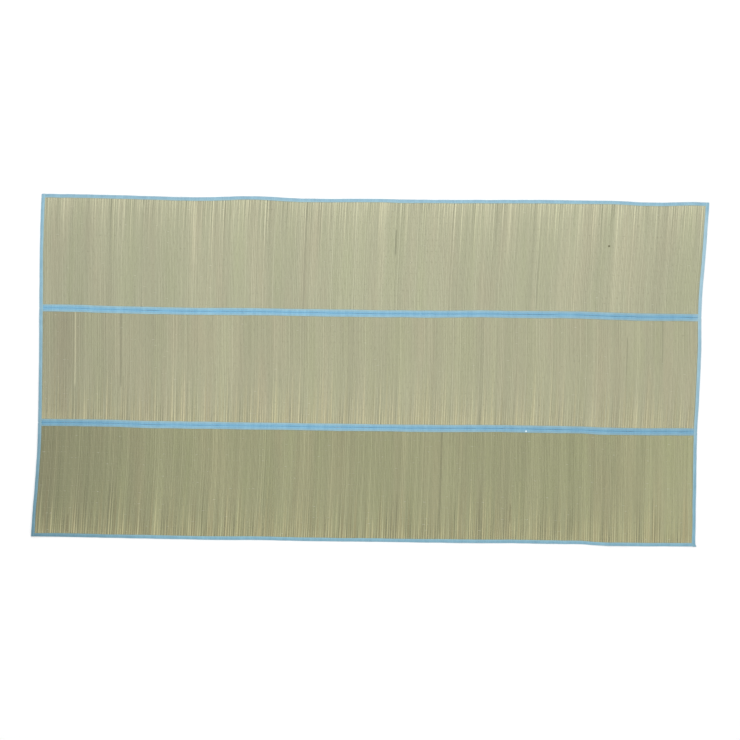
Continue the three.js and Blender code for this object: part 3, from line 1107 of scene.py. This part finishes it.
# %% Tape material
def tape_material():
    """Woven polypropylene tape: ribbed, slightly glossy and slightly sheer."""
    material, tree, shader = new_material("polypropylene tape, woven and folded")
    run, inwards, seam = [
        add(tree, "Attribute", {"attribute_name": name}, out="Fac") for name in ("run", "inwards", "seam")
    ]
    place = add(tree, "TexCoord", out="Object")
    along, across = [add(tree, "SeparateXYZ", {}, {"Vector": place}, out=axis) for axis in ("X", "Y")]
    weave_place = add(tree, "CombineXYZ", {}, {"X": run, "Y": inwards})
    weave = tape_weave(tree, weave_place)
    cloud = grain(tree, weave_place, 25 * MM, 25 * MM, 3.0)
    straw_under = grain(tree, place, STRAW_WIDTH, 60 * MM, 1.0)
    tone = layered(tree, 0.56, [(cloud, 0.8), (straw_under, 0.7), (weave, 0.3)])
    blue = tape_blue(tree, tone, inwards, seam)
    worn_and_shaded = tape_wear_and_shade(tree, blue, {"along": along, "across": across}, seam)
    plug(tree, shader, {
        "Base Color": spotted(tree, place, worn_and_shaded, PALE_NICK, PALE_NICK_RADIUS, "#e3f3f8"),
        "Roughness": 0.48,
        "Normal": add(tree, "Bump", {}, {"Strength": 0.6, "Distance": 0.12 * MM, "Height": weave}),
    })
    return material


tape_finish = tape_material()
stitch_finish = stitch_material()

# %% [markdown]
# ## What each piece is
# Every piece rides on the mat's one body. Straw panels and tapes are sheets of cloth and stand for
# their solids, which are hidden. Threads and stitches go with them.


def dress(piece, finish, nodes=()):
    """Gives a piece its material, its body and the solids that it stands for."""
    piece.data.materials.append(finish)
    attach(piece, "root")
    if nodes:
        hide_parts(*nodes)


for panel in PANELS:
    piece = panel_straws[panel][0]
    dress(piece, straw_materials[panel], [f"panel_{panel}"])
    dress(panel_threads[panel], thread_finish)
    dress(stitching[panel], stitch_finish)
dress(stitching["ends"], stitch_finish)
dress(stitching["folds"], stitch_finish)
for node, piece in bindings.items():
    dress(piece, tape_finish, [node])
print("sheets declared:", len(PANELS) + len(bindings))

# %% [markdown]
# ## The studio
# The floor is plain and pale, and the light is wide and soft, so that the mat shows its own colours.
# A hard lamp would draw the weave more sharply, but the photograph has no such shadows. The camera
# looks straight down, and is turned a little under one degree.

# %% Floor
FLOOR_REACH = 60

floor_shape = bmesh.new()
bmesh.ops.create_grid(floor_shape, x_segments=1, y_segments=1, size=FLOOR_REACH)
floor_mesh = bpy.data.meshes.new("floor")
floor_shape.to_mesh(floor_mesh)
floor_shape.free()
floor = bpy.data.objects.new("floor", floor_mesh)
bpy.context.scene.collection.objects.link(floor)
floor_finish, floor_tree, floor_shader = new_material("pale studio paper, matt")
plug(floor_tree, floor_shader, {"Base Color": linear("#fafafa"), "Roughness": 0.95})
floor_mesh.materials.append(floor_finish)
print("the floor reaches", FLOOR_REACH, "m each way")

# %% Lights
ROOM_LIGHT = 0.85

world = bpy.data.worlds.new("soft white room")
world.use_nodes = True
background = world.node_tree.nodes["Background"]
plug(world.node_tree, background, {"Color": (1, 1, 1, 1), "Strength": ROOM_LIGHT})
bpy.context.scene.world = world


def area_light(name, place, size, power):
    """A round lamp that faces the middle of the mat."""
    lamp = bpy.data.lights.new(name, "AREA")
    lamp.shape = "DISK"
    lamp.size = size
    lamp.energy = power
    light = bpy.data.objects.new(name, lamp)
    light.location = place
    direction = -light.location
    light.rotation_mode = "QUATERNION"
    light.rotation_quaternion = direction.to_track_quat("-Z", "Y")
    bpy.context.scene.collection.objects.link(light)
    print(f"{name}: {size} m across, {power} W, at {place}")


area_light("window light", (0.15, 0.9, 3.2), 1.6, 40)

# %% Camera
LENS = 70
SENSOR = 36
PHOTO_SPAN = 2009 * MM
PHOTO_TURN = math.atan(0.0145)

camera_data = bpy.data.cameras.new("camera")
camera_data.lens = LENS
camera_data.sensor_width = SENSOR
camera = bpy.data.objects.new("camera", camera_data)
camera.location = (0, 0, PHOTO_SPAN * LENS / SENSOR)
camera.rotation_euler = (0, 0, PHOTO_TURN)
bpy.context.scene.collection.objects.link(camera)
bpy.context.scene.camera = camera
bpy.context.scene.view_settings.view_transform = "Standard"
print("camera", round(camera.location.z, 2), "m up, turned", round(math.degrees(PHOTO_TURN), 2), "degrees")
